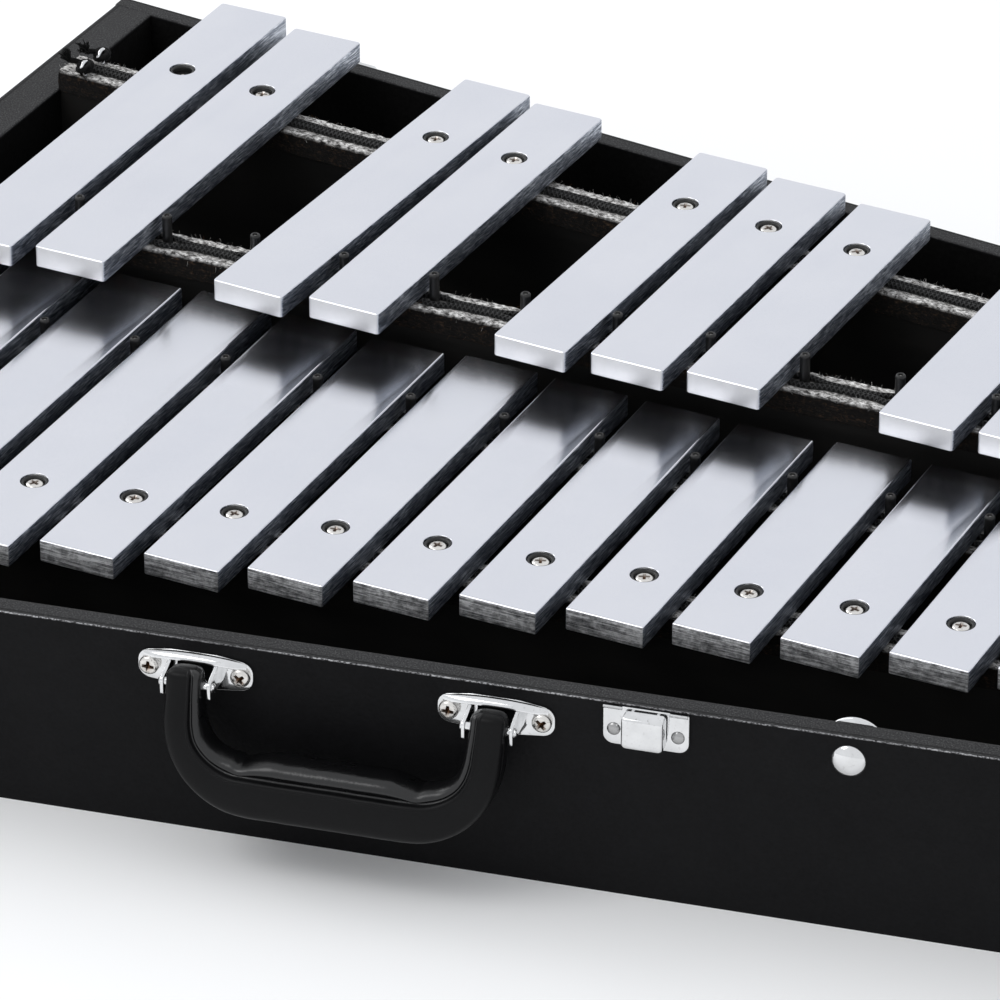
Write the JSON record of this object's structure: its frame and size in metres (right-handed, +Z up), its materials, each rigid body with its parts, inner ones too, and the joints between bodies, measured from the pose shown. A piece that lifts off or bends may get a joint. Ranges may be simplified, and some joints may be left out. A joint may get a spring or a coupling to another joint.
{
  "type": "glockenspiel",
  "caption": "Two-row metal-bar glockenspiel suspended on felted rails in the base of a tapered carrying case with a hanging handle and latches.",
  "frame": {"origin": "middle of the case's underside, on the surface it stands on", "axes": "+X from the long bass bars to the short treble bars, +Y from the player to the back, +Z up"},
  "size_m": [0.6232, 0.4072, 0.0818],
  "materials": {
    "leatherette": "black fine-grained leatherette over a wooden wall",
    "inside_black": "flat black lining",
    "rail_wood": "flat black painted wood",
    "wool_felt": "grey mottled wool felt",
    "braided_cord": "black braided cord",
    "bar_aluminium": "satin ground aluminium with bright bevels",
    "black_rubber": "black rubber",
    "screw_steel": "bright plated steel",
    "nail_steel": "plain steel",
    "moulded_vinyl": "black moulded vinyl with a fine leather grain",
    "chromed_fittings": "polished nickel-chrome plate"
  },
  "bodies": {
    "case": {"back_wall": "leatherette", "bar_a5": "bar_aluminium", "bar_a5_sharp": "bar_aluminium", "bar_a6": "bar_aluminium", "bar_a6_sharp": "bar_aluminium", "bar_a7": "bar_aluminium", "bar_a7_sharp": "bar_aluminium", "bar_b5": "bar_aluminium", "bar_b6": "bar_aluminium", "bar_b7": "bar_aluminium", "bar_c6": "bar_aluminium", "bar_c6_sharp": "bar_aluminium", "bar_c7": "bar_aluminium", "bar_c7_sharp": "bar_aluminium", "bar_c8": "bar_aluminium", "bar_d6": "bar_aluminium", "bar_d6_sharp": "bar_aluminium", "bar_d7": "bar_aluminium", "bar_d7_sharp": "bar_aluminium", "bar_e6": "bar_aluminium", "bar_e7": "bar_aluminium", "bar_f6": "bar_aluminium", "bar_f6_sharp": "bar_aluminium", "bar_f7": "bar_aluminium", "bar_f7_sharp": "bar_aluminium", "bar_g5": "bar_aluminium", "bar_g5_sharp": "bar_aluminium", "bar_g6": "bar_aluminium", "bar_g6_sharp": "bar_aluminium", "bar_g7": "bar_aluminium", "bar_g7_sharp": "bar_aluminium", "bar_grommets": "black_rubber", "bar_screws": "screw_steel", "bass_end_wall": "leatherette", "bracket_screws": "screw_steel", "cord_anchors": "screw_steel", "floor_panel": "inside_black", "front_wall": "leatherette", "guide_pin_sleeves": "black_rubber", "guide_pins": "nail_steel", "handle_brackets": "chromed_fittings", "handle_pins": "chromed_fittings", "hinge_halves": "chromed_fittings", "latch_pins": "chromed_fittings", "latch_plates": "chromed_fittings", "locator_discs": "chromed_fittings", "locator_rivets": "chromed_fittings", "natural_front_rail": "rail_wood", "natural_rail_felts": "wool_felt", "natural_rear_rail": "rail_wood", "natural_row_cords": "braided_cord", "sharp_front_rail": "rail_wood", "sharp_rail_felts": "wool_felt", "sharp_rear_rail": "rail_wood", "sharp_row_cords": "braided_cord", "small_rivets": "chromed_fittings", "treble_end_wall": "leatherette"},
    "handle": {"handle_grip": "moulded_vinyl"},
    "latch_bass": {"latch_lever_bass": "chromed_fittings"},
    "latch_treble": {"latch_lever_treble": "chromed_fittings"}
  },
  "joints": [
    {"name": "handle_swing", "type": "hinge", "parent": "case", "child": "handle", "pos_m": [-0.03886, -0.1622, 0.0554], "axis": [-0.9833, -0.1822, 0], "range_deg": [0, 155]},
    {"name": "latch_lever_bass_flip", "type": "hinge", "parent": "case", "child": "latch_bass", "pos_m": [-0.16195, -0.17891, 0.0623], "axis": [-0.9833, -0.1822, 0], "range_deg": [0, 95]},
    {"name": "latch_lever_treble_flip", "type": "hinge", "parent": "case", "child": "latch_treble", "pos_m": [0.04805, -0.14, 0.0623], "axis": [-0.9833, -0.1822, 0], "range_deg": [0, 95]}
  ]
}
